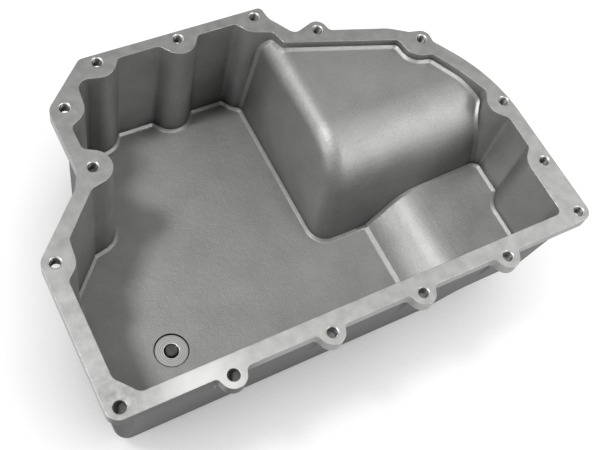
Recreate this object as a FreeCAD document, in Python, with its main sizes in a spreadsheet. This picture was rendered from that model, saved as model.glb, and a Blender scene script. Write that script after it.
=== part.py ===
import FreeCAD, Part
import math
import os

import Sketcher

# Cast aluminium engine oil pan, lying with its sealing face up.
# Origin: middle of the front row of bolts, on the sealing face. +X runs along
# that row, +Y towards the back of the pan, +Z up out of the open side.

os.makedirs("parts", exist_ok=True)
doc = FreeCAD.newDocument("oil_pan")

LEFT, RIGHT = 1, -1
BEFORE, AFTER = -1, 1

# Driving dimensions in millimetres and degrees.
SIZES = {
    # bolt pattern
    "front_pitch": 69.0,
    "corner_bolt_y": 9.4,
    "right_bolt_y": 54.1,
    "side_bolt_y": 109.5,
    "hump_bolt_x": 142.6,
    "hump_bolt_y": 181.2,
    "slant_bolt_x": 70.1,
    "slant_bolt_y": 215.6,
    "back_bolt_x": 30.4,
    "back_bolt_y": 242.0,
    "back_pitch": 61.0,
    "step_bolt_x": 125.7,
    "step_bolt_y": 164.9,
    "step_pitch": 49.3,
    "bolt_hole": 8.4,
    # flange
    "flange_thickness": 9.0,
    "edge_margin": 8.75,
    "front_margin": 7.7,
    "back_margin": 6.45,
    "corner_radius": 8.6,
    "lug_radius": 8.7,
    "lug_blend": 3.5,
    "hump_lug_radius": 7.6,
    "slant_lug_radius": 7.8,
    "back_lug_blend": 4.0,
    "front_land": 11.3,
    "side_land": 11.75,
    "back_land": 7.75,
    "slant_land": 10.4,
    "curve_land": 11.5,
    "step_margin": 10.8,
    "step_land": 9.5,
    "back_right_round": 3.5,
    "back_right_reach": 5.2,
    "back_left_round": 6.0,
    "back_left_reach": 8.4,
    "step_round": 10.5,
    "step_drop": 2.5,
    "step_hollow": 12.0,
    "step_hollow_rise": 3.8,
    # cavity
    "boss_radius": 13.0,
    "blend": 5.0,
    "cut_radius": 6.0,
    "cut_x": 14.6,
    "cut_y": 16.5,
    "outer_corner": 12.0,
    "hump_boss_shift_x": 3.6,
    "hump_boss_shift_y": 1.0,
    "slant_corner_x": 29.6,
    "slant_corner_y": 1.9,
    "head_gap": 0.2,
    "thread_allowance": 4.0,
    "floor_depth": 95.0,
    "draft": 1.5,
    "lean": 1.7,
    "wall": 4.5,
    "floor_thickness": 5.0,
    "flare": 5.4,
    "curve_radius": 110.0,
    "curve_inset": 1.15,
    "curve_y": 95.4,
    "slant_angle": 162.2,
    "foot_bevel": 2.0,
    "base_fillet": 6.0,
    # raised roof at the back right
    "hump_left": 24.5,
    "hump_front": 93.0,
    "hump_roof": 8.0,
    "hump_round": 45.0,
    "hump_side_round": 14.0,
    "hump_lean": 10.5,
    "hump_side_lean": 4.5,
    # shelf at the front right
    "shelf_depth": 66.0,
    "shelf_foot": 68.5,
    "shelf_slope": 40.0,
    "shelf_rise": 3.5,
    "shelf_round": 36.0,
    "shelf_overlap": 25.0,
    # drain
    "drain_x": 110.5,
    "drain_y": 59.7,
    "drain_face": 24.4,
    "drain_face_depth": 1.4,
    "drain_hole": 10.6,
    "drain_chamfer": 0.5,
    "drain_boss": 30.0,
    "drain_boss_height": 4.0,
    "drain_boss_draft": 3.0,
    "drain_fit": 0.1,
    "plug_tip": 9.0,
    "plug_tip_length": 3.0,
    "plug_tip_rise": 0.8,
    "plug_tip_bevel": 0.6,
    "plug_flange": 22.0,
    "plug_flange_height": 2.0,
    "plug_hex": 17.0,
    "plug_hex_height": 5.0,
    "washer_width": 20.0,
    "washer_height": 1.5,
}

sheet = doc.addObject("Spreadsheet::Sheet", "Sizes")
for row, (alias, value) in enumerate(SIZES.items(), start=1):
    sheet.set(f"A{row}", alias)
    sheet.set(f"B{row}", str(value))
    sheet.setAlias(f"B{row}", alias)
doc.recompute()


def size(alias):
    return float(sheet.get(alias))


# Bolt positions, anticlockwise round the flange from the front left corner.
pitch = size("front_pitch")
side_x = 2.5 * pitch
back_x = size("back_bolt_x")
step_x = -size("step_bolt_x")
step_y = size("step_bolt_y")
BOLTS = {
    "front_left": (-side_x, size("corner_bolt_y")),
    "lug_1": (-1.5 * pitch, 0.0),
    "lug_2": (-0.5 * pitch, 0.0),
    "lug_3": (0.5 * pitch, 0.0),
    "lug_4": (1.5 * pitch, 0.0),
    "front_right": (side_x, size("corner_bolt_y")),
    "right": (side_x, size("right_bolt_y")),
    "right_back": (side_x, size("side_bolt_y")),
    "hump": (size("hump_bolt_x"), size("hump_bolt_y")),
    "slant": (size("slant_bolt_x"), size("slant_bolt_y")),
    "back_1": (back_x, size("back_bolt_y")),
    "back_2": (back_x - size("back_pitch"), size("back_bolt_y")),
    "back_3": (back_x - 2 * size("back_pitch"), size("back_bolt_y")),
    "step_back": (step_x, step_y + size("step_pitch")),
    "step_front": (step_x, step_y),
    "left": (-side_x, size("side_bolt_y")),
}
LUGS = ("lug_1", "lug_2", "lug_3", "lug_4")
DRAIN = (-size("drain_x"), size("drain_y"))
SEAT_HEIGHT = "-Sizes.floor_depth - Sizes.floor_thickness - Sizes.drain_boss_height"

# Edges of the flange and of the cavity inside it.
front_edge = size("corner_bolt_y") - size("front_margin")
left_edge = -side_x - size("edge_margin")
right_edge = side_x + size("front_margin")
back_edge = size("back_bolt_y") + size("back_margin")
step_edge = step_x - size("step_margin")
front_wall = front_edge + size("front_land")
left_wall = left_edge + size("side_land")
right_wall = right_edge - size("side_land")
back_wall = back_edge - size("back_land")
curve_x = right_wall - size("curve_inset") - size("curve_radius")
step_wall = step_edge + size("step_land")
hump_boss = (
    BOLTS["hump"][0] - size("hump_boss_shift_x"),
    BOLTS["hump"][1] - size("hump_boss_shift_y"),
)
base_depth = size("floor_depth") + size("floor_thickness")

# How far cutting shapes reach past what they cut.
OVERCUT = 1.0
FAR = 60.0
# Straight run left between an arc and the wall or lug it leads to.
LUG_GAP = 0.3
BOSS_GAP = 0.8
# Steps of the rounding along the foot of the outer wall.
BASE_STEPS = 2
# Two heights this close are the same; faces that turn more than this meet at a crease.
NEAR = 0.01
CREASE_ANGLE = 12.0
# Pulleys that stand off a bolt: bolt, offset in x and in y, radius, turn.
GUIDES = {
    "hump_lug_hollow": ("hump", -4.7, 12.8, 4.0, RIGHT),
    "hump_lug_shoulder": ("hump", -32.3, -10.1, 30.0, LEFT),
    "slant_lug_hollow": ("slant", -15.1, 9.6, 6.0, RIGHT),
    "back_right_hollow": ("back_1", 17.3, -1.9, 8.0, RIGHT),
    "left_hollow": ("step_front", -23.7, -7.1, 8.0, RIGHT),
    "slant_wall_hollow": ("slant", -27.0, 0.2, 3.0, RIGHT),
    "slant_wall_fold": ("slant", -36.7, 5.2, 5.0, LEFT),
    "back_left_web": ("back_3", -12.4, -18.3, 7.5, LEFT),
    "step_wall_fold": ("step_front", -4.2, -19.4, 5.0, LEFT),
    "left_wall_fold": ("left", 18.6, 10.2, 5.0, LEFT),
}


# An outline is a belt round pulleys: each pulley is (x, y, radius, turn), and
# straight tangent lines join one arc to the next, anticlockwise.


def guide(name):
    bolt, dx, dy, radius, turn = GUIDES[name]
    return (BOLTS[bolt][0] + dx, BOLTS[bolt][1] + dy, radius, turn)


def beside(bolt, boss_radius, blend, wall, side, turn, gap=BOSS_GAP):
    """Pulley that leads a straight wall into the boss round a bolt."""
    px, py, angle = wall
    dx = math.cos(math.radians(angle))
    dy = math.sin(math.radians(angle))
    along = (bolt[0] - px) * dx + (bolt[1] - py) * dy
    across = (bolt[1] - py) * dx - (bolt[0] - px) * dy - turn * blend
    reach = math.sqrt((boss_radius + blend + gap) ** 2 - across ** 2)
    run = along + side * reach
    return (px + run * dx - turn * blend * dy, py + run * dy + turn * blend * dx, blend, turn)


def beside_curve(bolt, boss_radius, blend, curve, side, turn, gap=BOSS_GAP):
    """Pulley that leads the big curved side into the boss round a bolt."""
    cx, cy, radius = curve
    far = math.hypot(bolt[0] - cx, bolt[1] - cy)
    near = radius - turn * blend + OVERCUT
    reach = boss_radius + blend + gap
    swing = math.acos((far ** 2 + near ** 2 - reach ** 2) / (2.0 * far * near))
    angle = math.atan2(bolt[1] - cy, bolt[0] - cx) + side * swing
    return (cx + near * math.cos(angle), cy + near * math.sin(angle), blend, turn)


def flange_outline():
    """Outer edge of the flange, with its lugs and bolt bosses."""
    corner, lug, lug_blend = size("corner_radius"), size("lug_radius"), size("lug_blend")
    hump_lug, slant_lug = size("hump_lug_radius"), size("slant_lug_radius")
    back_blend = size("back_lug_blend")
    right_round, left_round = size("back_right_round"), size("back_left_round")
    step_round, hollow = size("step_round"), size("step_hollow")
    front = (0.0, front_edge, 0.0)
    slant = slant_line(size("slant_land"))
    curve = (curve_x, size("curve_y"), size("curve_radius") + size("curve_land"))
    belt = [(left_edge + corner, front_edge + corner, corner, LEFT)]
    for name in LUGS:
        bolt = BOLTS[name]
        belt.append(beside(bolt, lug, lug_blend, front, BEFORE, RIGHT, LUG_GAP))
        belt.append((*bolt, lug, LEFT))
        belt.append(beside(bolt, lug, lug_blend, front, AFTER, RIGHT, LUG_GAP))
    belt += [
        (right_edge - corner, front_edge + corner, corner, LEFT),
        (*curve, LEFT),
        beside_curve(BOLTS["hump"], hump_lug, back_blend, curve, BEFORE, RIGHT, LUG_GAP),
        (*BOLTS["hump"], hump_lug, LEFT),
        guide("hump_lug_hollow"),
        guide("hump_lug_shoulder"),
        beside(BOLTS["slant"], slant_lug, back_blend, slant, BEFORE, RIGHT, LUG_GAP),
        (*BOLTS["slant"], slant_lug, LEFT),
        guide("slant_lug_hollow"),
        guide("back_right_hollow"),
        (BOLTS["back_1"][0] + size("back_right_reach"), back_edge - right_round, right_round, LEFT),
        (BOLTS["back_3"][0] - size("back_left_reach"), back_edge - left_round, left_round, LEFT),
        (step_edge + step_round, BOLTS["step_back"][1] - size("step_drop"), step_round, LEFT),
        (step_edge - hollow, BOLTS["step_front"][1] + size("step_hollow_rise"), hollow, RIGHT),
        guide("left_hollow"),
        (*BOLTS["left"], size("edge_margin"), LEFT),
    ]
    return belt


def slant_line(outward):
    """Line of the slanted back wall, moved outwards from the cavity."""
    angle = math.radians(size("slant_angle"))
    x = BOLTS["slant"][0] - size("slant_corner_x") + outward * math.sin(angle)
    y = BOLTS["slant"][1] - size("slant_corner_y") - outward * math.cos(angle)
    return (x, y, size("slant_angle"))


def cavity_outline(shift):
    """Edge of the cavity; the left and front walls stand in by the shift."""
    boss, blend, cut = size("boss_radius"), size("blend"), size("cut_radius")
    left, front = left_wall + shift, front_wall + shift
    right_line = (right_wall, 0.0, 90.0)
    back_line = (0.0, back_wall, 180.0)
    step_line = (step_wall, 0.0, 270.0)
    left_line = (left, 0.0, 270.0)
    slant = slant_line(0.0)
    curve = (curve_x, size("curve_y"), size("curve_radius"))
    belt = [
        (left + cut, front + size("cut_y"), cut, LEFT),
        (left + size("cut_x"), front + cut, cut, LEFT),
        (BOLTS["right"][0] - boss - blend, front + blend, blend, LEFT),
        (*BOLTS["right"], boss, RIGHT),
        beside(BOLTS["right"], boss, blend, right_line, AFTER, LEFT),
        beside(BOLTS["right_back"], boss, blend, right_line, BEFORE, LEFT),
        (*BOLTS["right_back"], boss, RIGHT),
        beside_curve(BOLTS["right_back"], boss, blend, curve, AFTER, LEFT),
        (*curve, LEFT),
        beside_curve(hump_boss, boss, blend, curve, BEFORE, LEFT),
        (*hump_boss, boss, RIGHT),
        beside(hump_boss, boss, blend, slant, AFTER, LEFT),
        guide("slant_wall_hollow"),
        guide("slant_wall_fold"),
        (*BOLTS["back_1"], boss + 1.0, RIGHT),
        beside(BOLTS["back_1"], boss + 1.0, blend, back_line, AFTER, LEFT),
        beside(BOLTS["back_2"], boss, blend, back_line, BEFORE, LEFT),
        (*BOLTS["back_2"], boss, RIGHT),
        beside(BOLTS["back_2"], boss, blend, back_line, AFTER, LEFT),
        beside(BOLTS["back_3"], boss, blend, back_line, BEFORE, LEFT),
        (*BOLTS["back_3"], boss, RIGHT),
        guide("back_left_web"),
        (*BOLTS["step_back"], boss, RIGHT),
        beside(BOLTS["step_back"], boss, blend, step_line, AFTER, LEFT),
        beside(BOLTS["step_front"], boss, blend, step_line, BEFORE, LEFT),
        (*BOLTS["step_front"], boss, RIGHT),
        guide("step_wall_fold"),
        guide("left_wall_fold"),
        (*BOLTS["left"], boss - 0.5, RIGHT),
        beside(BOLTS["left"], boss - 0.5, blend, left_line, AFTER, LEFT),
    ]
    return belt


def draw_belt(sketch, belt, grow=0.0):
    """Draws arcs round the pulleys and the tangent lines between them."""
    pulleys = [(x, y, max(radius + turn * grow, 0.5), turn) for x, y, radius, turn in belt]
    headings = []
    for here, there in zip(pulleys, pulleys[1:] + pulleys[:1]):
        dx, dy = there[0] - here[0], there[1] - here[1]
        lean = there[3] * there[2] - here[3] * here[2]
        headings.append(math.atan2(dy, dx) - math.asin(lean / math.hypot(dx, dy)))
    pieces = []
    for index, (x, y, radius, turn) in enumerate(pulleys):
        first = headings[index - 1] - turn * math.pi / 2
        sweep = (turn * (headings[index] - headings[index - 1])) % (2 * math.pi)
        angles = [first + turn * sweep * part for part in (0.0, 0.5, 1.0)]
        points = [FreeCAD.Vector(x + radius * math.cos(a), y + radius * math.sin(a), 0) for a in angles]
        pieces.append(points)
    for index, points in enumerate(pieces):
        sketch.addGeometry(Part.Arc(*points), False)
        sketch.addGeometry(Part.LineSegment(points[2], pieces[(index + 1) % len(pieces)][0]), False)


def new_body(label):
    return doc.addObject("PartDesign::Body", label)


def new_sketch(body, name, role="XY_Plane", height=None):
    """Sketch on one of the body's origin planes, at a height from the sheet."""
    sketch = body.newObject("Sketcher::SketchObject", name)
    plane = [item for item in body.Origin.OriginFeatures if item.Role == role][0]
    sketch.AttachmentSupport = (plane, [""])
    sketch.MapMode = "FlatFace"
    if height:
        sketch.setExpression(".AttachmentOffset.Base.z", height)
    return sketch


def loft(body, kind, name, sketches, ruled):
    feature = body.newObject("PartDesign::" + kind, name)
    feature.Profile = sketches[0]
    feature.Sections = sketches[1:]
    feature.Ruled = ruled
    feature.Closed = False
    return feature


def taper(depth, alias):
    return depth * math.tan(math.radians(size(alias)))


def edges_at(shape, height):
    """Names of the edges that lie wholly at one height."""
    names = []
    for number, edge in enumerate(shape.Edges, start=1):
        box = edge.BoundBox
        if abs(box.ZMin - height) < NEAR and abs(box.ZMax - height) < NEAR:
            names.append(f"Edge{number}")
    return names


def roof_form(label, offset):
    """Raised roof at the back right, as a body of its own.

    Its side view is a leaning front that rolls over into a level roof; the
    left end leans too, and its edge is rounded. The offset takes the wall
    thickness off for the recess on the underside.
    """
    body = new_body(label)
    lean = math.radians(size("hump_lean"))
    side_lean = math.radians(size("hump_side_lean"))
    roll = size("hump_round") - offset
    roof = size("hump_roof") + offset
    roll_depth = roof + roll
    low = base_depth + OVERCUT
    front_foot = size("hump_front") + offset / math.cos(lean)
    left_foot = size("hump_left") + offset / math.cos(side_lean)
    tangent_depth = roll_depth - roll * math.sin(lean)
    tangent_y = front_foot + (size("floor_depth") - tangent_depth) * math.tan(lean)
    roll_y = tangent_y + roll * math.cos(lean)
    far_x, far_y = side_x + FAR, back_edge + FAR
    half = (math.pi / 2 + lean) / 2
    side = new_sketch(body, label + "_side_view", "YZ_Plane")
    points = [
        FreeCAD.Vector(roll_y, -roof, 0),
        FreeCAD.Vector(far_y, -roof, 0),
        FreeCAD.Vector(far_y, -low, 0),
        FreeCAD.Vector(front_foot - (low - size("floor_depth")) * math.tan(lean), -low, 0),
        FreeCAD.Vector(tangent_y, -tangent_depth, 0),
    ]
    for start, end in zip(points, points[1:]):
        side.addGeometry(Part.LineSegment(start, end), False)
    crown = FreeCAD.Vector(roll_y - roll * math.cos(half), -roll_depth + roll * math.sin(half), 0)
    side.addGeometry(Part.Arc(points[-1], crown, points[0]), False)
    doc.recompute()
    block = body.newObject("PartDesign::Pad", label + "_block")
    block.Profile = side
    block.Length = far_x
    doc.recompute()
    wedge = new_sketch(body, label + "_end_view", "XZ_Plane")
    draw_corners(wedge, [
        (-OVERCUT, 0.0),
        (-OVERCUT, -low - OVERCUT),
        (left_foot - (low + OVERCUT - size("floor_depth")) * math.tan(side_lean), -low - OVERCUT),
        (left_foot + size("floor_depth") * math.tan(side_lean), 0.0),
    ])
    doc.recompute()
    end = body.newObject("PartDesign::Pocket", label + "_end")
    end.Profile = wedge
    end.Type = "Length"
    end.Length = 2 * (far_y + FAR)
    end.Midplane = True
    doc.recompute()
    rim = end_face_edges(end.Shape, front_foot, roof, far_y)
    rounding = body.newObject("PartDesign::Fillet", label + "_edge")
    rounding.Base = (end, rim)
    rounding.Radius = size("hump_side_round") - offset
    doc.recompute()
    return body


def draw_corners(sketch, corners):
    """Draws a closed outline with straight sides."""
    points = [FreeCAD.Vector(x, y, 0) for x, y in corners]
    for start, end in zip(points, points[1:] + points[:1]):
        sketch.addGeometry(Part.LineSegment(start, end), False)


def end_face_edges(shape, front, roof, far_y):
    """Edges where the roof's left end meets its front, its roll and its top."""
    left = min(shape.Faces, key=lambda face: face.CenterOfMass.x)
    names = []
    for number, edge in enumerate(shape.Edges, start=1):
        if not any(edge.isSame(other) for other in left.Edges):
            continue
        box = edge.BoundBox
        level_foot = box.ZMax - box.ZMin < NEAR and box.ZMax < -roof - OVERCUT
        if level_foot or box.YMin > far_y - NEAR:
            continue
        names.append(f"Edge{number}")
    return names


def shelf_profile(body, name, offset):
    """Side view of the shelf: riser, rounded brow and a top that rises gently."""
    sketch = new_sketch(body, name, "XZ_Plane")
    slope, rise = math.radians(size("shelf_slope")), math.radians(size("shelf_rise"))
    radius = size("shelf_round") - offset
    floor = -size("floor_depth")
    low = -base_depth - OVERCUT
    top = -size("shelf_depth") - offset / math.cos(rise)
    foot = size("shelf_foot") + offset / math.sin(slope)
    steep, gentle = math.tan(slope), math.tan(rise)
    brow_x = (top - floor + foot * steep - right_wall * gentle) / (steep - gentle)
    brow_z = floor + (brow_x - foot) * steep
    reach = radius * math.tan((slope - rise) / 2)
    half = (slope + rise) / 2
    centre_x = brow_x - reach * math.cos(slope) + radius * math.sin(slope)
    centre_z = brow_z - reach * math.sin(slope) - radius * math.cos(slope)
    start, middle, end = [
        FreeCAD.Vector(centre_x - radius * math.sin(turn), centre_z + radius * math.cos(turn), 0)
        for turn in (slope, half, rise)
    ]
    far = side_x + FAR
    corners = [
        FreeCAD.Vector(far, top + (far - right_wall) * gentle, 0),
        FreeCAD.Vector(far, low, 0),
        FreeCAD.Vector(foot - (floor - low) / steep, low, 0),
    ]
    sketch.addGeometry(Part.Arc(start, middle, end), False)
    points = [end, *corners, start]
    for here, there in zip(points, points[1:]):
        sketch.addGeometry(Part.LineSegment(here, there), False)
    return sketch


def cut_shelf(body, name, offset):
    """Cuts the shelf's profile across the front right, under the raised roof."""
    sketch = shelf_profile(body, name + "_profile", offset)
    doc.recompute()
    pocket = body.newObject("PartDesign::Pocket", name)
    pocket.Profile = sketch
    pocket.Type = "Length"
    pocket.Length = 2 * (size("hump_front") + size("shelf_overlap"))
    pocket.Midplane = True
    return pocket


def make_core():
    """The space inside the pan, as the foundry's core fills it."""
    body = new_body("cavity_core")
    rim = new_sketch(body, "core_rim")
    draw_belt(rim, cavity_outline(0.0))
    foot = new_sketch(body, "core_foot", height="-Sizes.floor_depth")
    draw_belt(foot, cavity_outline(taper(size("floor_depth"), "lean")), -taper(size("floor_depth"), "draft"))
    doc.recompute()
    loft(body, "AdditiveLoft", "core_block", [rim, foot], True)
    doc.recompute()
    cut_shelf(body, "shelf_space", 0.0)
    doc.recompute()
    cut_body(body, "roof_space", roof_form("roof", 0.0))
    doc.recompute()
    bevel_edges(body, "foot_bevel", creases(body.Shape, -size("hump_roof")), "Sizes.foot_bevel")
    return body


def creases(shape, top):
    """Names of the edges below a height at which two faces meet at an angle."""
    names = []
    for number, edge in enumerate(shape.Edges, start=1):
        faces = shape.ancestorsOfType(edge, Part.Face)
        if edge.BoundBox.ZMax > top + NEAR or len(faces) != 2:
            continue
        middle = edge.valueAt((edge.FirstParameter + edge.LastParameter) / 2)
        normals = [face.normalAt(*face.Surface.parameter(middle)) for face in faces]
        if math.degrees(normals[0].getAngle(normals[1])) > CREASE_ANGLE:
            names.append(f"Edge{number}")
    return names


def bevel_edges(body, name, edges, width):
    """Bevels the named edges of the body's last feature."""
    base = body.Tip
    bevel = body.newObject("PartDesign::Chamfer", name)
    bevel.Base = (base, edges)
    bevel.setExpression("Size", width)
    doc.recompute()
    return bevel


def cut_body(body, name, tool):
    """Cuts one body out of another."""
    cut = body.newObject("PartDesign::Boolean", name)
    cut.Type = "Cut"
    cut.setObjects([tool])
    return cut


def make_casting(core):
    """Flange, drafted walls and floor, with the core taken out."""
    body = new_body("pan_casting")
    edge = new_sketch(body, "flange_edge")
    draw_belt(edge, flange_outline())
    doc.recompute()
    flange = body.newObject("PartDesign::Pad", "flange")
    flange.Profile = edge
    flange.setExpression("Length", "Sizes.flange_thickness")
    flange.Reversed = True
    doc.recompute()
    loft(body, "AdditiveLoft", "tub", wall_sections(body), True)
    doc.recompute()
    cut_shelf(body, "shelf_underside", size("wall"))
    doc.recompute()
    cut_body(body, "roof_underside", roof_form("roof_recess", size("wall")))
    doc.recompute()
    cut_body(body, "cavity", core)
    doc.recompute()
    scallops = new_sketch(body, "bolt_head_circles", height="-Sizes.flange_thickness")
    heads = [BOLTS[name] for name in ("front_left", *LUGS, "front_right")]
    draw_circles(scallops, heads, size("lug_radius") + size("head_gap"))
    doc.recompute()
    relief = body.newObject("PartDesign::Pocket", "bolt_head_relief")
    relief.Profile = scallops
    relief.Type = "Length"
    relief.Length = base_depth
    doc.recompute()
    circles = new_sketch(body, "bolt_circles")
    draw_circles(circles, BOLTS.values(), size("bolt_hole") / 2)
    doc.recompute()
    holes = body.newObject("PartDesign::Pocket", "bolt_holes")
    holes.Profile = circles
    holes.Type = "Length"
    holes.Length = size("flange_thickness") + size("thread_allowance")
    doc.recompute()
    drill_drain(body)
    return body


def wall_outline(shift):
    """The cavity's outline, with one round corner at the front left."""
    radius = size("outer_corner") - size("wall")
    corner = (left_wall + shift + radius, front_wall + shift + radius, radius, LEFT)
    return [corner, *cavity_outline(shift)[2:]]


def wall_sections(body):
    """Outer wall from the rim down, with the rounded edge at its foot."""
    rim = new_sketch(body, "wall_rim")
    draw_belt(rim, wall_outline(-size("flare")), size("wall"))
    sections = [rim]
    for step in range(BASE_STEPS + 1):
        angle = step / BASE_STEPS * math.pi / 2
        rise = size("base_fillet") * (1 - math.sin(angle))
        inset = size("base_fillet") * (1 - math.cos(angle))
        depth = base_depth - rise
        section = new_sketch(body, f"wall_foot_{step}")
        section.setExpression(
            ".AttachmentOffset.Base.z",
            f"-Sizes.floor_depth - Sizes.floor_thickness + Sizes.base_fillet * {1 - math.sin(angle):.6f}",
        )
        grow = size("wall") - taper(depth, "draft") - inset
        draw_belt(section, wall_outline(taper(depth, "lean")), grow)
        sections.append(section)
    doc.recompute()
    return sections


def draw_circles(sketch, centres, radius):
    for x, y in centres:
        circle = Part.Circle(FreeCAD.Vector(x, y, 0), FreeCAD.Vector(0, 0, 1), radius)
        sketch.addGeometry(circle, False)


def has_radius(shape, name, radius):
    edge = shape.getElement(name)
    return hasattr(edge.Curve, "Radius") and abs(edge.Curve.Radius - radius) < NEAR


def drill_drain(body):
    """Drain boss under the floor, its hole and the machined ring inside."""
    boss_circle = new_sketch(body, "drain_boss_circle", height="-Sizes.floor_depth - Sizes.floor_thickness")
    draw_circles(boss_circle, [DRAIN], size("drain_boss") / 2)
    doc.recompute()
    boss = body.newObject("PartDesign::Pad", "drain_boss_pad")
    boss.Profile = boss_circle
    boss.setExpression("Length", "Sizes.drain_boss_height")
    boss.Reversed = True
    boss.TaperAngle = -size("drain_boss_draft")
    doc.recompute()
    face_circle = new_sketch(body, "drain_face_circle", height="-Sizes.floor_depth")
    draw_circles(face_circle, [DRAIN], size("drain_face") / 2)
    doc.recompute()
    face = body.newObject("PartDesign::Pocket", "drain_face_cut")
    face.Profile = face_circle
    face.Type = "Length"
    face.setExpression("Length", "Sizes.drain_face_depth")
    doc.recompute()
    hole_circle = new_sketch(body, "drain_hole_circle", height="-Sizes.floor_depth")
    draw_circles(hole_circle, [DRAIN], size("drain_hole") / 2)
    doc.recompute()
    hole = body.newObject("PartDesign::Pocket", "drain_hole_cut")
    hole.Profile = hole_circle
    hole.Type = "Length"
    hole.Length = base_depth
    doc.recompute()
    mouth = edges_at(body.Shape, -size("floor_depth") - size("drain_face_depth"))
    mouth = [name for name in mouth if has_radius(body.Shape, name, size("drain_hole") / 2)]
    bevel_edges(body, "drain_bevel", mouth, "Sizes.drain_chamfer")


def make_washer():
    """Flat sealing ring between the drain boss and the plug's flange."""
    body = new_body("drain_plug_washer")
    rings = new_sketch(body, "ring", height=SEAT_HEIGHT)
    draw_circles(rings, [DRAIN], size("washer_width") / 2)
    draw_circles(rings, [DRAIN], size("drain_hole") / 2 + size("drain_fit"))
    doc.recompute()
    ring = body.newObject("PartDesign::Pad", "ring_pad")
    ring.Profile = rings
    ring.setExpression("Length", "Sizes.washer_height")
    ring.Reversed = True
    doc.recompute()
    return body


def make_plug():
    """Drain plug, screwed up through the floor from below."""
    body = new_body("drain_plug")
    shank_radius = size("drain_hole") / 2 - size("drain_fit")
    tip_radius = size("plug_tip") / 2
    bevel = size("plug_tip_bevel")
    seat = -base_depth - size("drain_boss_height") - size("washer_height")
    tip = -size("floor_depth") - size("drain_face_depth") + size("plug_tip_rise")
    shoulder = tip - size("plug_tip_length")
    flange_bottom = seat - size("plug_flange_height")
    half = new_sketch(body, "half_section", "XZ_Plane")
    draw_corners(half, [
        (0.0, tip),
        (tip_radius - bevel, tip),
        (tip_radius, tip - bevel),
        (tip_radius, shoulder),
        (shank_radius, shoulder - (shank_radius - tip_radius)),
        (shank_radius, seat),
        (size("plug_flange") / 2, seat),
        (size("plug_flange") / 2, flange_bottom),
        (0.0, flange_bottom),
    ])
    half.setExpression(".AttachmentOffset.Base.x", "-Sizes.drain_x")
    half.setExpression(".AttachmentOffset.Base.z", "-Sizes.drain_y")
    doc.recompute()
    turned = body.newObject("PartDesign::Revolution", "turned")
    turned.Profile = half
    turned.ReferenceAxis = (half, ["V_Axis"])
    doc.recompute()
    outline = new_sketch(body, "hex_outline")
    corner = size("plug_hex") / 2 / math.cos(math.pi / 6)
    draw_corners(outline, [
        (DRAIN[0] + corner * math.cos(turn * math.pi / 3), DRAIN[1] + corner * math.sin(turn * math.pi / 3))
        for turn in range(6)
    ])
    outline.AttachmentOffset = FreeCAD.Placement(FreeCAD.Vector(0, 0, flange_bottom), FreeCAD.Rotation())
    doc.recompute()
    head = body.newObject("PartDesign::Pad", "hex_head")
    head.Profile = outline
    head.setExpression("Length", "Sizes.plug_hex_height")
    head.Reversed = True
    doc.recompute()
    return body


core = make_core()
casting = make_casting(core)
washer = make_washer()
plug = make_plug()
for item in doc.Objects:
    if "Invalid" in item.State or "Error" in item.State:
        raise RuntimeError(f"{item.Name} did not build: {item.State}")
for body in (casting, washer, plug):
    shape = body.Shape
    if shape.isNull() or not shape.isValid() or len(shape.Solids) != 1:
        raise RuntimeError(f"{body.Label} is not one valid solid")
for body in (casting, washer, plug):
    body.Shape.exportStep(f"parts/{body.Label}.step")
    print(body.Label, round(body.Shape.Volume), len(body.Shape.Faces), body.Shape.BoundBox)
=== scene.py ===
# %% [markdown]
# # An engine oil pan in cast aluminium
# The pan lies with its open side up, as on a bench. Its shape comes from the CAD
# model, which is loaded first and never changed. What this lesson adds is the
# finish: the grey skin that a mould leaves, the sealing face that a cutter has
# milled, the threads in its bolt holes, and the drain plug and its washer.

# %% Load the CAD frame
import math

import bpy
from mathutils import Euler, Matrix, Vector


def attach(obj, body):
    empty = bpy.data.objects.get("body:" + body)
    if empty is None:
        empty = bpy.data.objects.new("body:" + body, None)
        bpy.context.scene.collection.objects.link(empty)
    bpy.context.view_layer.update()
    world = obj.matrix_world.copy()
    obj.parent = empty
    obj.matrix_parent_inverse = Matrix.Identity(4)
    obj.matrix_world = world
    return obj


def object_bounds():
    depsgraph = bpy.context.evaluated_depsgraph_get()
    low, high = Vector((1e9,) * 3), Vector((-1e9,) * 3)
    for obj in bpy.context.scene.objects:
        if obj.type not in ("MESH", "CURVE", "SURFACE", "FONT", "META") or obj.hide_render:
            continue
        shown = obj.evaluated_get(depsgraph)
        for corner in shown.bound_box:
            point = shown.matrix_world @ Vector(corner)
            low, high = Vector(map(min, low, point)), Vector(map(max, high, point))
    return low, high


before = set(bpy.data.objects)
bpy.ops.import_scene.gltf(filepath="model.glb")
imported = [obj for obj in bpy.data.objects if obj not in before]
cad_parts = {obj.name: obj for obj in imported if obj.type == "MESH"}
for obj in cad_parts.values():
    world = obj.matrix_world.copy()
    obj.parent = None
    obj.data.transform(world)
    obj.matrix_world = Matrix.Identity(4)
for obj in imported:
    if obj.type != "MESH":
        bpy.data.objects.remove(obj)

cad_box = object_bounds()
MM = 0.001
low_z = cad_box[0][2]
print("CAD box in mm:", [[round(value / MM, 1) for value in corner] for corner in cad_box])

# %% [markdown]
# ## Colours and nodes
# A material is a small graph of nodes. One function adds a node, sets its
# options and fills or links its inputs, so each finish below reads as a list of
# what the surface is made of. Colours are written as the hex values that a
# screen shows, and turned into the linear values that the renderer counts in.

# %% Colours and nodes


def linear(hex_colour):
    """An sRGB hex colour as linear RGBA."""
    values = []
    for start in (1, 3, 5):
        channel = int(hex_colour[start:start + 2], 16) / 255
        values.append(channel / 12.92 if channel <= 0.04045 else ((channel + 0.055) / 1.055) ** 2.4)
    return (*values, 1.0)


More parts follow.
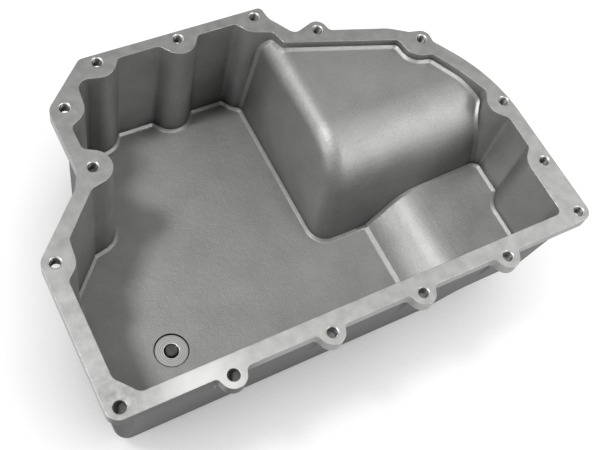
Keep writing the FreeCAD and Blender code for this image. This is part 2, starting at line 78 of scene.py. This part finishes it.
def add(tree, kind, inputs=None, **settings):
    """Adds a shader node; an input is given a value, another node or one of its outputs."""
    made = tree.nodes.new("ShaderNode" + kind)
    for name, value in settings.items():
        setattr(made, name, value)
    for name, value in (inputs or {}).items():
        if isinstance(value, bpy.types.Node):
            value = next(output for output in value.outputs if output.enabled)
        if isinstance(value, bpy.types.NodeSocket):
            tree.links.new(value, made.inputs[name])
        else:
            made.inputs[name].default_value = value
    return made


def new_material(name):
    """An empty material, its node tree and the object's own coordinates."""
    material = bpy.data.materials.new(name)
    material.use_nodes = True
    tree = material.node_tree
    tree.nodes.clear()
    return material, tree, add(tree, "TexCoord").outputs["Object"]


def dress(node, material):
    """Gives a CAD node's object its material."""
    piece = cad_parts[node]
    piece.data.materials.clear()
    piece.data.materials.append(material)
    print(node, "has", len(piece.data.polygons), "faces in", material.name)


print("mid grey is", round(linear("#808080")[0], 3), "in linear light")

# %% [markdown]
# ## Masks and coats
# A finish is built as a painter would: a base colour, then coats, each kept to
# its own places by a mask that runs from 0 to 1. Random patches, tool marks,
# hollows and round spots are all masks, so a few ideas serve every metal here.
# Noise is spread out by a Map Range node, because it seldom leaves the middle of
# its range by itself.

# %% Masks and coats


def patches(tree, place, width, spread=0.2, detail=3.0):
    """Soft random patches of a width in metres."""
    noise = add(tree, "TexNoise", {"Vector": place, "Scale": 1 / width, "Detail": detail})
    return add(tree, "MapRange", {"Value": noise, "From Min": 0.5 - spread, "From Max": 0.5 + spread})


def tool_circles(tree, place, centre, spacing, wander):
    """The fine circles that a turning or milling tool leaves round a centre."""
    from_centre = add(tree, "VectorMath", {0: place, 1: centre}, operation="SUBTRACT")
    return add(tree, "TexWave", {
        "Vector": from_centre, "Scale": math.pi / 10 / spacing, "Distortion": wander, "Detail": 2.0,
        "Detail Scale": 3.0}, wave_type="RINGS", rings_direction="Z").outputs["Fac"]


def crowded(tree, reach, full, none):
    """1 where other faces crowd in within the reach, 0 in the open."""
    opening = add(tree, "AmbientOcclusion", {"Distance": reach}, samples=8).outputs["AO"]
    return add(tree, "MapRange", {"Value": opening, "From Min": none, "From Max": full},
               interpolation_type="SMOOTHSTEP")


def spot(tree, place, centre, reach):
    """A soft round spot: 1 at its centre, 0 at its reach and beyond."""
    away = add(tree, "VectorMath", {0: place, 1: centre}, operation="DISTANCE").outputs["Value"]
    return add(tree, "MapRange", {"Value": away, "From Min": reach, "From Max": 0.0},
               interpolation_type="SMOOTHSTEP")


def coated(tree, colour, *coats):
    """Lays coats over a colour; each coat is a mask, a strength and a colour."""
    for mask, strength, coat in coats:
        cover = add(tree, "Math", {0: mask, 1: strength}, operation="MULTIPLY")
        colour = add(tree, "Mix", {"Factor": cover, "A": colour, "B": coat}, data_type="RGBA")
    return colour


print("a tool circle every millimetre needs a scale of", round(math.pi / 10 / MM))

# %% [markdown]
# ## Where the cutter has been
# The pan is one casting, so it has one material with several finishes in it.
# After casting, a face mill takes the top of the flange level, a spot facer
# sinks a ring round the drain hole inside, and the seat of the plug below is
# faced as well. All of these lie at known heights and distances from the drain,
# so the place of a point tells which finish it has, and no painted map is needed.

# %% Milled, spot-faced or as cast
TOP_CUT = -0.25 * MM
DRAIN = (-110.5 * MM, 59.7 * MM, 0.0)
DRAIN_MOUTH, DRAIN_FACE = 6.0 * MM, 11.8 * MM
FACE_LEVEL, FACE_SPREAD = -96.95 * MM, 1.05 * MM
STEP_LEVEL, STEP_SPREAD = -96.45 * MM, 1.55 * MM
STEP_RADIUS, STEP_HALF_WIDTH = 12.2 * MM, 0.4 * MM
SEAT_LEVEL = -103.8 * MM
NO_HEIGHT = (1.0, 1.0, 0.0)


def cut_places(tree, place):
    """Masks of the milled top, the spot-faced metal, a painted highlight at the hole's edge and painted shade on
    the ring's step.
    """
    height = add(tree, "SeparateXYZ", {"Vector": place}).outputs["Z"]
    flat = add(tree, "VectorMath", {0: place, 1: NO_HEIGHT}, operation="MULTIPLY")
    reach = add(tree, "VectorMath", {0: flat, 1: DRAIN}, operation="DISTANCE").outputs["Value"]

    top = add(tree, "Math", {0: height, 1: TOP_CUT}, operation="GREATER_THAN")
    at_face = add(tree, "Math", {0: height, 1: FACE_LEVEL, 2: FACE_SPREAD}, operation="COMPARE")
    in_face = add(tree, "Math", {0: reach, 1: DRAIN_FACE}, operation="LESS_THAN")
    in_mouth = add(tree, "Math", {0: reach, 1: DRAIN_MOUTH}, operation="LESS_THAN")
    at_step = add(tree, "Math", {0: height, 1: STEP_LEVEL, 2: STEP_SPREAD}, operation="COMPARE")
    in_step = add(tree, "Math", {0: reach, 1: STEP_RADIUS, 2: STEP_HALF_WIDTH}, operation="COMPARE")
    face = add(tree, "Math", {0: at_face, 1: in_face}, operation="MULTIPLY")
    # Painted highlight: the spot face's bright edge at the hole.
    mouth_glint = add(tree, "Math", {0: at_face, 1: in_mouth}, operation="MULTIPLY")
    # Painted shade: the narrow step round the spot face.
    step = add(tree, "Math", {0: at_step, 1: in_step}, operation="MULTIPLY")
    seat = add(tree, "Math", {0: height, 1: SEAT_LEVEL}, operation="LESS_THAN")
    faced = add(tree, "Math", {0: face, 1: seat}, operation="MAXIMUM")
    return top, faced, mouth_glint, step


print("the spot face is", round(2 * DRAIN_FACE / MM, 1), "mm across")

# %% [markdown]
# ## The outside
# The same skin is painted darker on the outside than on the inside: painted
# shade on the walls below the flange. A wall's two sides lie only a few
# millimetres apart, so the way the surface faces tells them apart: outside it
# faces away from the middle of the pan, and inside it faces the middle. The
# edge of the flange above is left as it is, except at the left end of its
# front, which gets the painted shade too.

# %% Outside or inside
MIDDLE = (20.0 * MM, 90.0 * MM, 0.0)
UNDER_FLANGE = -9.1 * MM
EDGE_SHADE_END, EDGE_SHADE_FULL = -75 * MM, -105 * MM


def outside_shade(tree, place):
    """Mask of the painted shade on the outside walls and on one end of the flange's front edge."""
    away = add(tree, "VectorMath", {0: place, 1: MIDDLE}, operation="SUBTRACT")
    away = add(tree, "VectorMath", {0: away, 1: NO_HEIGHT}, operation="MULTIPLY")
    away = add(tree, "VectorMath", {0: away}, operation="NORMALIZE")
    facing = add(tree, "NewGeometry").outputs["True Normal"]
    turned = add(tree, "VectorMath", {0: facing, 1: away}, operation="DOT_PRODUCT").outputs["Value"]
    outer = add(tree, "MapRange", {"Value": turned, "From Min": -0.1, "From Max": 0.3},
                interpolation_type="SMOOTHSTEP")

    here = add(tree, "SeparateXYZ", {"Vector": place})
    below = add(tree, "Math", {0: here.outputs["Z"], 1: UNDER_FLANGE}, operation="LESS_THAN")
    front = add(tree, "SeparateXYZ", {"Vector": facing}).outputs["Y"]
    front = add(tree, "MapRange", {"Value": front, "From Min": -0.2, "From Max": -0.7})
    left = add(tree, "MapRange", {"Value": here.outputs["X"], "From Min": EDGE_SHADE_END, "From Max": EDGE_SHADE_FULL})
    edge_shade = add(tree, "Math", {0: front, 1: left}, operation="MULTIPLY")
    # Painted shade: all of the outside below the flange, and the left end of the flange's front edge.
    shaded = add(tree, "Math", {0: below, 1: edge_shade}, operation="MAXIMUM")
    return add(tree, "Math", {0: outer, 1: shaded}, operation="MULTIPLY")


# Where the painted shade on the flange's front edge starts, and where it is full.
print("the dirt climbs the flange from", round(EDGE_SHADE_END / MM), "to", round(EDGE_SHADE_FULL / MM), "mm")

# %% [markdown]
# ## Walls and feet
# Painted shade darkens a wall where it is hemmed in: in the corners beside the
# bolt bosses and low down in the deep end. Less of it is painted at the shallow
# right end. The narrow bevel at the foot of each wall is the opposite: it is
# smoother, and painted lighter, a painted highlight that shows as a thin bright
# line. An Ambient Occlusion node finds both, because it measures how closed in a
# place is, and how far a surface points up, 1 for a floor and 0 for a wall,
# tells its slope.

# %% Painted shade on walls, painted highlight at their feet
DEEP_REACH, CORNER_REACH, FOOT_REACH = 60 * MM, 16 * MM, 4 * MM
THIN_SHADE, THIN_FROM = 0.2, 150 * MM
FULL_SHADE, FULL_FROM = 0.54, 60 * MM
CORNER_SHADE = 0.92
FOOT_SLOPE, FOOT_SLOPE_SPREAD = 0.59, 0.34


def wall_shade_and_foot_highlight(tree, place):
    """Masks of the painted shade on the walls and of the painted highlight on the bevels at the foot of each."""
    facing = add(tree, "NewGeometry").outputs["True Normal"]
    upward = add(tree, "SeparateXYZ", {"Vector": facing}).outputs["Z"]
    wall = add(tree, "MapRange", {"Value": upward, "From Min": 0.6, "From Max": 0.1},
               interpolation_type="SMOOTHSTEP")
    along = add(tree, "SeparateXYZ", {"Vector": place}).outputs["X"]
    amount = add(tree, "MapRange", {"Value": along, "From Min": THIN_FROM, "From Max": FULL_FROM,
                                    "To Min": THIN_SHADE, "To Max": FULL_SHADE})

    deep = add(tree, "Math", {0: crowded(tree, DEEP_REACH, 0.3, 0.95), 1: amount}, operation="MULTIPLY")
    corners = add(tree, "Math", {0: crowded(tree, CORNER_REACH, 0.5, 0.85), 1: CORNER_SHADE}, operation="MULTIPLY")
    hemmed_in = add(tree, "Math", {0: deep, 1: corners}, operation="MAXIMUM")
    # Painted shade: walls darkened where they are hemmed in, most in the deep end.
    painted_shade = add(tree, "Math", {0: wall, 1: hemmed_in}, operation="MULTIPLY")

    # Painted highlight: the bevels at the feet of the walls, which are also made smoother.
    bevel = add(tree, "Math", {0: upward, 1: FOOT_SLOPE, 2: FOOT_SLOPE_SPREAD}, operation="COMPARE")
    foot_highlight = add(tree, "Math", {0: bevel, 1: crowded(tree, FOOT_REACH, 0.6, 0.9)}, operation="MULTIPLY")
    return painted_shade, foot_highlight


# How strong the painted shade on the walls is, in the deep end and at the right.
print("oil on the walls:", FULL_SHADE, "in the deep end,", THIN_SHADE, "at the right")

# %% [markdown]
# ## The ramp's painted shade
# A ramp leads up to the shelf at the front right. Its lower part is painted
# darker as painted shade, darkest just above a thin painted highlight at its
# foot. The ramp is the only large face of its slope on that side, so slope and
# place find it.

# %% Painted shade and highlight on the ramp
RAMP_SLOPE, RAMP_SLOPE_SPREAD = 0.83, 0.1
RAMP_START = 60 * MM
LINE_LEVEL, LINE_SPREAD = -94.55 * MM, 0.35 * MM
RAMP_SHADE_TOP, RAMP_SHADE_BOTTOM = -80 * MM, -94.2 * MM
RAMP_SHADE_STRENGTH = 0.5


def ramp_shade_and_highlight(tree, place):
    """Masks of the painted shade on the ramp and of the painted highlight at its foot."""
    facing = add(tree, "NewGeometry").outputs["True Normal"]
    upward = add(tree, "SeparateXYZ", {"Vector": facing}).outputs["Z"]
    here = add(tree, "SeparateXYZ", {"Vector": place})
    sloping = add(tree, "Math", {0: upward, 1: RAMP_SLOPE, 2: RAMP_SLOPE_SPREAD}, operation="COMPARE")
    right = add(tree, "Math", {0: here.outputs["X"], 1: RAMP_START}, operation="GREATER_THAN")
    ramp = add(tree, "Math", {0: sloping, 1: right}, operation="MULTIPLY")

    low = add(tree, "MapRange", {
        "Value": here.outputs["Z"], "From Min": RAMP_SHADE_TOP, "From Max": RAMP_SHADE_BOTTOM, "To Max": RAMP_SHADE_STRENGTH,
    }, interpolation_type="SMOOTHSTEP")
    foot = add(tree, "Math", {0: here.outputs["Z"], 1: LINE_LEVEL, 2: LINE_SPREAD}, operation="COMPARE")
    # Painted shade low on the ramp, and a painted highlight in a thin band at its foot.
    ramp_shade = add(tree, "Math", {0: ramp, 1: low}, operation="MULTIPLY")
    return ramp_shade, add(tree, "Math", {0: ramp, 1: foot}, operation="MULTIPLY")


# Height of the painted shade on the ramp.
print("the tide mark is", round((RAMP_SHADE_TOP - RAMP_SHADE_BOTTOM) / MM), "mm high")

# %% [markdown]
# ## Cast aluminium: the skin
# The mould leaves a fine pebbled skin, blasted clean with grit, which scatters
# light like a dull mirror: a metal, but rough. Grain of about a millimetre, as
# coarse as it needs to be to show from here, breaks the highlights up. Patches
# a few centimetres wide, left by the way the metal cooled, keep the large faces
# from looking like paint. Painted shade on the walls and on the outside, and a
# painted highlight along the feet of the walls, lie over them.

# %% Colour of the skin
GRAIN = 1.0 * MM
COOLING_PATCH = 22.0 * MM


def skin_colour(tree, place, grain, painted_shade, foot_highlight):
    """The skin's grey, with painted shade and painted highlights over it."""
    return coated(
        tree, linear("#919190"),
        (patches(tree, place, COOLING_PATCH, detail=5.0), 1.0, linear("#9f9f9e")),
        (grain, 0.25, linear("#d0d0cf")),
        # Painted shade on the walls and the ramp.
        (painted_shade, 1.0, linear("#1e1e1d")),
        # Painted highlight along the feet of the walls.
        (foot_highlight, 0.6, linear("#e8e8e6")),
        # Painted shade on the outside.
        (outside_shade(tree, place), 0.74, linear("#303030")))


print("grain", round(GRAIN / MM, 1), "mm, cooling patches", round(COOLING_PATCH / MM), "mm")

# %% [markdown]
# ## Cast aluminium: the cut metal
# The milled metal is lighter, with faint curved lines from the cutter's teeth
# and dull patches from handling. A painted highlight makes it whitest near the
# first lug, and it is darker in flecks round the bolt hole in the corner. The
# ring round the drain has the closer circles of a spot facer.

# %% Colour of the cut metal
HANDLING_PATCH = 9.0 * MM
TOOTH_LINE = 1.2 * MM
FACER_LINE = 1.6 * MM
SHEEN_SPOT, SHEEN_REACH = (-122 * MM, 2 * MM, 0.0), 42 * MM
CORNER_SPOT, CORNER_SPOT_REACH = (-172 * MM, 14 * MM, 0.0), 34 * MM
FLECK_WIDTH = 4.0 * MM


def milled_colour(tree, place, grain, teeth):
    """The milled face with its handling marks, a painted highlight and darker flecks."""
    near_corner = spot(tree, place, CORNER_SPOT, CORNER_SPOT_REACH)
    flecked = add(tree, "Math", {0: near_corner, 1: patches(tree, place, FLECK_WIDTH)}, operation="MULTIPLY")
    return coated(
        tree, linear("#9b9b99"),
        (patches(tree, place, HANDLING_PATCH, spread=0.3, detail=4.0), 1.0, linear("#c4c4c2")),
        # Painted highlight on the flange near the first lug.
        (spot(tree, place, SHEEN_SPOT, SHEEN_REACH), 0.62, linear("#f2f2f0")),
        # Darker flecks round the bolt hole in the corner.
        (flecked, 0.6, linear("#6e6e6c")),
        (teeth, 0.06, linear("#f0f0ee")),
        (grain, 0.15, linear("#e0e0de")))


def spot_faced_colour(tree, facer, mouth_glint):
    """The ring round the drain hole, with a painted highlight at the hole's edge."""
    # The near-white edge at the hole is a painted highlight.
    return coated(tree, linear("#969695"), (facer, 1.0, linear("#b8b8b6")), (mouth_glint, 1.0, linear("#f6f6f4")))


print("tooth lines", round(TOOTH_LINE / MM, 1), "mm apart, facer circles", round(FACER_LINE / MM, 1), "mm")

# %% [markdown]
# ## Cast aluminium: edges and relief
# The edges of a casting are never sharp, so a Bevel node rounds the shading
# along them: a millimetre and a half on the skin, and little more than half a
# millimetre along the edges that were milled and deburred. Bump nodes then add
# the pebbles and the grain to the skin, and the tool's lines to the cut metal.

# %% Edges and relief
SKIN_EDGE, CUT_EDGE = 1.5 * MM, 0.6 * MM
PEBBLE, PEBBLE_HEIGHT = 4.0 * MM, 0.25 * MM
GRAIN_HEIGHT = 0.2 * MM
TOOTH_HEIGHT, FACER_HEIGHT = 0.05 * MM, 0.1 * MM


def cast_relief(tree, place, grain, teeth, facer, top, faced):
    """The direction of the surface, with its own relief for each finish."""
    soft = add(tree, "Bevel", {"Radius": SKIN_EDGE}, samples=4)
    crisp = add(tree, "Bevel", {"Radius": CUT_EDGE}, samples=4)
    pebbled = add(tree, "Bump", {"Height": patches(tree, place, PEBBLE), "Strength": 0.25,
                                 "Distance": PEBBLE_HEIGHT, "Normal": soft})
    blasted = add(tree, "Bump", {"Height": grain, "Strength": 0.3, "Distance": GRAIN_HEIGHT, "Normal": pebbled})
    milled = add(tree, "Bump", {"Height": teeth, "Strength": 0.1, "Distance": TOOTH_HEIGHT, "Normal": crisp})
    circled = add(tree, "Bump", {"Height": facer, "Strength": 0.4, "Distance": FACER_HEIGHT, "Normal": crisp})
    either = add(tree, "Mix", {"Factor": top, "A": blasted, "B": milled}, data_type="VECTOR")
    return add(tree, "Mix", {"Factor": faced, "A": either, "B": circled}, data_type="VECTOR")


print("edges rounded by", round(SKIN_EDGE / MM, 1), "mm on the skin and", round(CUT_EDGE / MM, 1), "mm where cut")

# %% [markdown]
# ## Cast aluminium: the whole casting
# The finishes meet here. Each takes its place over the skin by its own mask,
# and the step round the spot face is painted near black as painted shade. Cut
# metal is smoother than the skin, and so are the feet of the walls. A thin
# oxide and old dirt make it less of a mirror than clean metal, so it isn't
# fully metallic.

# %% Cast aluminium with milled faces
SKIN_ROUGHNESS, CUT_ROUGHNESS, FOOT_SMOOTHNESS = 0.54, 0.4, 0.12


def make_cast_aluminium():
    """One material with the skin, the milled top and the spot-faced ring."""
    material, tree, place = new_material("cast_aluminium")
    top, faced, mouth_glint, step = cut_places(tree, place)
    painted_shade, foot_highlight = wall_shade_and_foot_highlight(tree, place)
    ramp_shade, ramp_highlight = ramp_shade_and_highlight(tree, place)
    painted_shade = add(tree, "Math", {0: painted_shade, 1: ramp_shade}, operation="MAXIMUM")
    foot_highlight = add(tree, "Math", {0: foot_highlight, 1: ramp_highlight}, operation="MAXIMUM")
    grain = patches(tree, place, GRAIN)
    teeth = tool_circles(tree, place, (0.0, 0.0, 0.0), TOOTH_LINE, 4.0)
    facer = tool_circles(tree, place, DRAIN, FACER_LINE, 0.6)

    colour = coated(
        tree, skin_colour(tree, place, grain, painted_shade, foot_highlight),
        (top, 1.0, milled_colour(tree, place, grain, teeth)),
        (faced, 1.0, spot_faced_colour(tree, facer, mouth_glint)),
        # The step round the spot face is painted near black as painted shade.
        (step, 1.0, linear("#141413")))
    dull = add(tree, "MapRange", {"Value": top, "To Min": SKIN_ROUGHNESS, "To Max": CUT_ROUGHNESS})
    smooth = add(tree, "Math", {0: foot_highlight, 1: FOOT_SMOOTHNESS}, operation="MULTIPLY")
    add(tree, "OutputMaterial", {"Surface": add(tree, "BsdfPrincipled", {
        "Base Color": colour,
        "Metallic": 0.85,
        "Roughness": add(tree, "Math", {0: dull, 1: smooth}, operation="SUBTRACT"),
        "Normal": cast_relief(tree, place, grain, teeth, facer, top, faced)})})
    return material


dress("pan_casting", make_cast_aluminium())

# %% [markdown]
# ## Zinc-plated steel and soft aluminium
# The drain plug is steel with a thin coat of zinc. Its tip, which shows inside
# the pan, has sat in hot oil and is darker than new plating, with faint rings
# from turning. The washer under its head is soft, pure aluminium, squeezed into
# the seat to seal it. It is brighter than the casting, which has silicon in it.

# %% Plug and washer
TURNING_LINE, TURNING_HEIGHT = 0.5 * MM, 0.05 * MM
TARNISH_PATCH = 2.5 * MM
TURNED_EDGE = 0.3 * MM


def make_turned_metal(name, low, high, roughness):
    """Turned metal whose colour wanders between two tones."""
    material, tree, place = new_material(name)
    crisp = add(tree, "Bevel", {"Radius": TURNED_EDGE}, samples=4)
    rings = tool_circles(tree, place, DRAIN, TURNING_LINE, 0.5)
    add(tree, "OutputMaterial", {"Surface": add(tree, "BsdfPrincipled", {
        "Base Color": coated(tree, linear(low), (patches(tree, place, TARNISH_PATCH), 1.0, linear(high))),
        "Metallic": 1.0,
        "Roughness": roughness,
        "Normal": add(tree, "Bump", {"Height": rings, "Strength": 0.2, "Distance": TURNING_HEIGHT,
                                     "Normal": crisp})})})
    return material


dress("drain_plug", make_turned_metal("zinc_plated_steel", "#4c4c4b", "#5e5e5c", 0.42))
dress("drain_plug_washer", make_turned_metal("soft_aluminium", "#b0b0ae", "#c8c8c6", 0.36))

# %% [markdown]
# ## Threads and countersinks
# Most bolt holes show a bright countersink and ridges further down. The CAD
# model keeps its holes plain, so that they stay light, and a thin lining in each
# hole has the countersink and an M8 thread. Its rows of points run round the
# hole, and the radius of each point follows the turn and the depth, which is all
# that a screw thread is. The countersink is painted near white as a painted
# highlight, and the thread darker as painted shade down in the hole. The sizes
# of the lining are in millimetres, as a thread table gives them.

# %% A lining for each tapped hole
TAPPED_HOLES = [(172.5, 9.4), (172.5, 54.1), (172.5, 109.5), (142.6, 181.2), (70.1, 215.6), (30.4, 242.0),
                (-30.6, 242.0), (-91.6, 242.0), (-125.7, 214.2), (-125.7, 164.9), (-172.5, 109.5),
                (-34.5, 0.0), (34.5, 0.0), (103.5, 0.0)]
LINING_RADIUS, LINING_TOP, LINING_DEPTH = 4.17, -0.03, 8.9
THREAD_CREST, THREAD_ROOT, THREAD_PITCH = 3.32, 4.0, 1.25
SUNK_DEPTH = LINING_RADIUS - THREAD_CREST
TURN_STEPS, THREAD_ROWS = 48, 57


def threaded(depth, turn):
    """Radius in mm at a depth below the face and a fraction of a turn."""
    ridge = abs(2 * ((depth / THREAD_PITCH + turn) % 1.0) - 1)
    thread = THREAD_CREST + (THREAD_ROOT - THREAD_CREST) * ridge
    return max(thread, LINING_RADIUS - depth)


def line_holes(name, holes, rows, radius_at, material):
    """One mesh of tubes, one down each hole, whose radius follows a rule."""
    points, faces = [], []
    for x, y in holes:
        first = len(points)
        for row in range(rows + 1):
            depth = LINING_DEPTH * row / rows
            for step in range(TURN_STEPS):
                angle = 2 * math.pi * step / TURN_STEPS
                radius = radius_at(depth, step / TURN_STEPS)
                points.append(((x + radius * math.cos(angle)) * MM, (y + radius * math.sin(angle)) * MM,
                               (LINING_TOP - depth) * MM))
        for row in range(rows):
            for step in range(TURN_STEPS):
                a, b = first + row * TURN_STEPS + step, first + row * TURN_STEPS + (step + 1) % TURN_STEPS
                faces.append((a, a + TURN_STEPS, b + TURN_STEPS, b))
    mesh = bpy.data.meshes.new(name)
    mesh.from_pydata(points, [], faces)
    mesh.shade_smooth()
    mesh.materials.append(material)
    linings = bpy.data.objects.new(name, mesh)
    bpy.context.collection.objects.link(linings)
    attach(linings, "root")
    print(name, "has", len(holes), "holes and", len(faces), "faces")


def make_tapped_aluminium():
    """Near white in the countersink as a painted highlight, and darker in the thread as painted shade."""
    material, tree, place = new_material("tapped_aluminium")
    height = add(tree, "SeparateXYZ", {"Vector": place}).outputs["Z"]
    sunk = add(tree, "Math", {0: height, 1: -SUNK_DEPTH * MM}, operation="GREATER_THAN")
    add(tree, "OutputMaterial", {"Surface": add(tree, "BsdfPrincipled", {
        # Thread painted dark as shade in the hole, countersink painted near white as a highlight.
        "Base Color": coated(
            tree, linear("#4c4c4b"),
            (patches(tree, place, THREAD_PITCH * MM), 1.0, linear("#a2a2a0")),
            (sunk, 1.0, linear("#e4e4e2"))),
        "Metallic": 0.85,
        "Roughness": 0.45})})
    return material


line_holes("bolt_hole_threads", TAPPED_HOLES, THREAD_ROWS, threaded, make_tapped_aluminium())

# %% [markdown]
# ## Two dark holes
# Two holes at the front left show neither. They are plain, and each holds a
# matt dark grey dish, lower in the middle: painted shade, put where the holes
# look dark.

# %% Painted shade in two holes
SHADED_HOLES = [(-172.5, 9.4), (-103.5, 0.0)]
SHADE_DISH_ROWS = 12
SHADE_DISH_LUMP, LUMP_HEIGHT = 1.2 * MM, 0.2 * MM


def dished(depth, turn):
    """Radius in mm of the dark dish: down the wall of the hole, then in to its middle."""
    along = depth / LINING_DEPTH
    return LINING_RADIUS if along < 0.5 else LINING_RADIUS * 2 * (1 - along)


def make_hole_shade():
    """A matt, lumpy dark grey, used as painted shade in a hole."""
    material, tree, place = new_material("painted_hole_shade")
    lumps = patches(tree, place, SHADE_DISH_LUMP)
    add(tree, "OutputMaterial", {"Surface": add(tree, "BsdfPrincipled", {
        # Dark grey painted shade.
        "Base Color": coated(tree, linear("#555453"), (lumps, 1.0, linear("#71706e"))),
        "Roughness": 0.8,
        "Normal": add(tree, "Bump", {"Height": lumps, "Strength": 0.5, "Distance": LUMP_HEIGHT})})})
    return material


# A dark dish in each of two holes: painted shade.
line_holes("bolt_hole_shade", SHADED_HOLES, SHADE_DISH_ROWS, dished, make_hole_shade())

# %% [markdown]
# ## Floor
# The pan stands on white paper. The paper shows white to the camera, and also
# in the metal's reflections, because part of the light it shows is its own. That
# part fades where the pan closes over it, as an Ambient Occlusion node measures,
# so a soft shadow stays under the pan. The paper's own light is kept off the
# rays that light other surfaces, so it doesn't brighten the pan from below.

# %% White paper
FLOOR_SIZE = 8.0
SHADE_REACH = 0.09
PAPER_GLOW = 0.92


def shown_rays(tree):
    """1 for the camera, a reflection or a view through glass, and 0 for light on its way."""
    path = add(tree, "LightPath")
    mirrored = add(tree, "Math", {
        0: path.outputs["Is Glossy Ray"], 1: path.outputs["Is Transmission Ray"]}, operation="MAXIMUM")
    return add(tree, "Math", {0: path.outputs["Is Camera Ray"], 1: mirrored}, operation="MAXIMUM")


def make_white_paper():
    """Paper that shows white and keeps the pan's shadow."""
    material, tree, _ = new_material("white_paper")
    open_sky = add(tree, "AmbientOcclusion", {"Distance": SHADE_REACH}, samples=8).outputs["AO"]
    glow = add(tree, "Math", {0: open_sky, 1: PAPER_GLOW}, operation="MULTIPLY")
    glowing = add(tree, "Emission", {"Color": linear("#ffffff"), "Strength": glow})
    lit = add(tree, "BsdfDiffuse", {"Color": linear("#7a7a7a")})
    shown = add(tree, "AddShader", {0: glowing, 1: lit})
    hidden = add(tree, "BsdfDiffuse", {"Color": linear("#8a8a8a")})
    add(tree, "OutputMaterial", {"Surface": add(tree, "MixShader", {0: shown_rays(tree), 1: hidden, 2: shown})})
    return material


bpy.ops.mesh.primitive_plane_add(size=FLOOR_SIZE, location=(0, 0, low_z))
floor = bpy.context.object
floor.name = "floor"
floor.data.materials.append(make_white_paper())
print("floor at", round(low_z / MM, 1), "mm")

# %% [markdown]
# ## Light
# The strongest lamp is small and stands high on the left, so the left wall and
# its bolt bosses throw a wavy shadow across the floor of the pan. Larger, weaker
# lamps round the pan draw the soft bands along its rounded edges. Those at the
# front stand nearer, so that the walls at the back get less of their light.

# %% Lamps
AIM = (0.0, 0.12, -0.05)


def add_lamp(name, azimuth, elevation, distance, width, power):
    """A round lamp at an angle round the pan and an angle above it."""
    lamp = bpy.data.lights.new(name, "AREA")
    lamp.shape = "DISK"
    lamp.size = width
    lamp.energy = power
    holder = bpy.data.objects.new(name, lamp)
    turn, rise = math.radians(azimuth), math.radians(elevation)
    towards = Vector((math.cos(rise) * math.cos(turn), math.cos(rise) * math.sin(turn), math.sin(rise)))
    holder.location = Vector(AIM) + distance * towards
    holder.rotation_euler = towards.to_track_quat("Z", "Y").to_euler()
    bpy.context.collection.objects.link(holder)
    print(f"{name}: {power} W, {azimuth} degrees round, {elevation} up, {distance} m away")


add_lamp("key", 168, 61, 1.3, 0.2, 11.3)
add_lamp("left_low", 180, 22, 1.3, 0.5, 4.5)
add_lamp("front_low", 298, 30, 1.0, 0.4, 2.3)
add_lamp("front_right", 324, 45, 1.0, 0.4, 2.6)
add_lamp("right", 12, 50, 1.3, 0.4, 0.7)
add_lamp("top", 38, 75, 1.3, 0.25, 0.8)

# %% [markdown]
# ## Room
# A dim, even room fills in what the lamps leave. Near the horizon it is as white
# as the paper, so the paper has no visible end when the pan is seen from low.

# %% Room
ROOM_STRENGTH = 0.28
BAND_LOW, BAND_HIGH = 0.06, 0.16


def set_room():
    """An even world that turns white towards the horizon."""
    world = bpy.data.worlds.new("room")
    world.use_nodes = True
    bpy.context.scene.world = world
    tree = world.node_tree
    tree.nodes.clear()
    direction = add(tree, "TexCoord").outputs["Generated"]
    rise = add(tree, "SeparateXYZ", {"Vector": direction}).outputs["Z"]
    fall = add(tree, "MapRange", {
        "Value": rise, "From Min": BAND_LOW, "From Max": BAND_HIGH, "To Min": 1.0, "To Max": ROOM_STRENGTH,
    }, interpolation_type="SMOOTHSTEP")
    add(tree, "OutputWorld", {
        "Surface": add(tree, "Background", {"Color": linear("#ffffff"), "Strength": fall})})
    print("room:", ROOM_STRENGTH, "above, 1.0 at the horizon")


set_room()

# %% [markdown]
# ## Camera
# The camera looks down into the pan from the front left, at the angle of the
# photograph. Its lens and place were worked out from the flange's straight
# edges and bolt holes, so each edge falls where the photograph has it.

# %% Camera
LENS = 58.68
CAMERA_PLACE = (-250.6 * MM, -148.7 * MM, 555.6 * MM)
CAMERA_TURN = (28.454, -10.341, -27.706)

camera_data = bpy.data.cameras.new("camera")
camera_data.lens = LENS
camera_data.sensor_width = 36.0
camera = bpy.data.objects.new("camera", camera_data)
camera.location = CAMERA_PLACE
camera.rotation_euler = Euler([math.radians(angle) for angle in CAMERA_TURN])
bpy.context.collection.objects.link(camera)
bpy.context.scene.camera = camera
bpy.context.scene.view_settings.view_transform = "Standard"
print("camera at", tuple(round(value, 3) for value in camera.location))
